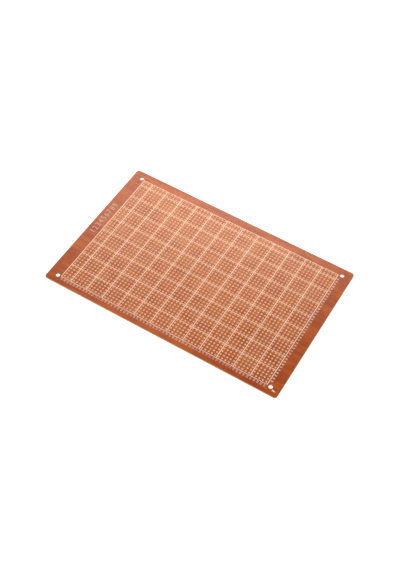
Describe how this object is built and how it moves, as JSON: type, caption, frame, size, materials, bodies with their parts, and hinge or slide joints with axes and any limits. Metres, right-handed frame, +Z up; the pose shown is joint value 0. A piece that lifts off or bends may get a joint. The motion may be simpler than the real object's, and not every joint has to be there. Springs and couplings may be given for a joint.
{
  "type": "prototype board",
  "caption": "Flat rectangular prototype board of brown phenolic-paper laminate, with a square grid of small lead holes, printed grid lines and a fixing hole near each corner.",
  "frame": {"origin": "middle of the sheet's underside, where it lies on a flat surface", "axes": "+X along the length, +Y across the width, +Z up out of the printed face; the narrow printed band is at the -X end"},
  "size_m": [0.18, 0.12, 0.0012],
  "materials": {
    "phenolic_laminate": "brown-orange phenolic resin on paper, semi-gloss, paler where it is cut or punched",
    "white_ink": "thin matt white screen print"
  },
  "bodies": {
    "root": {"laminate_board": "phenolic_laminate", "grid_print": "white_ink"}
  },
  "joints": []
}
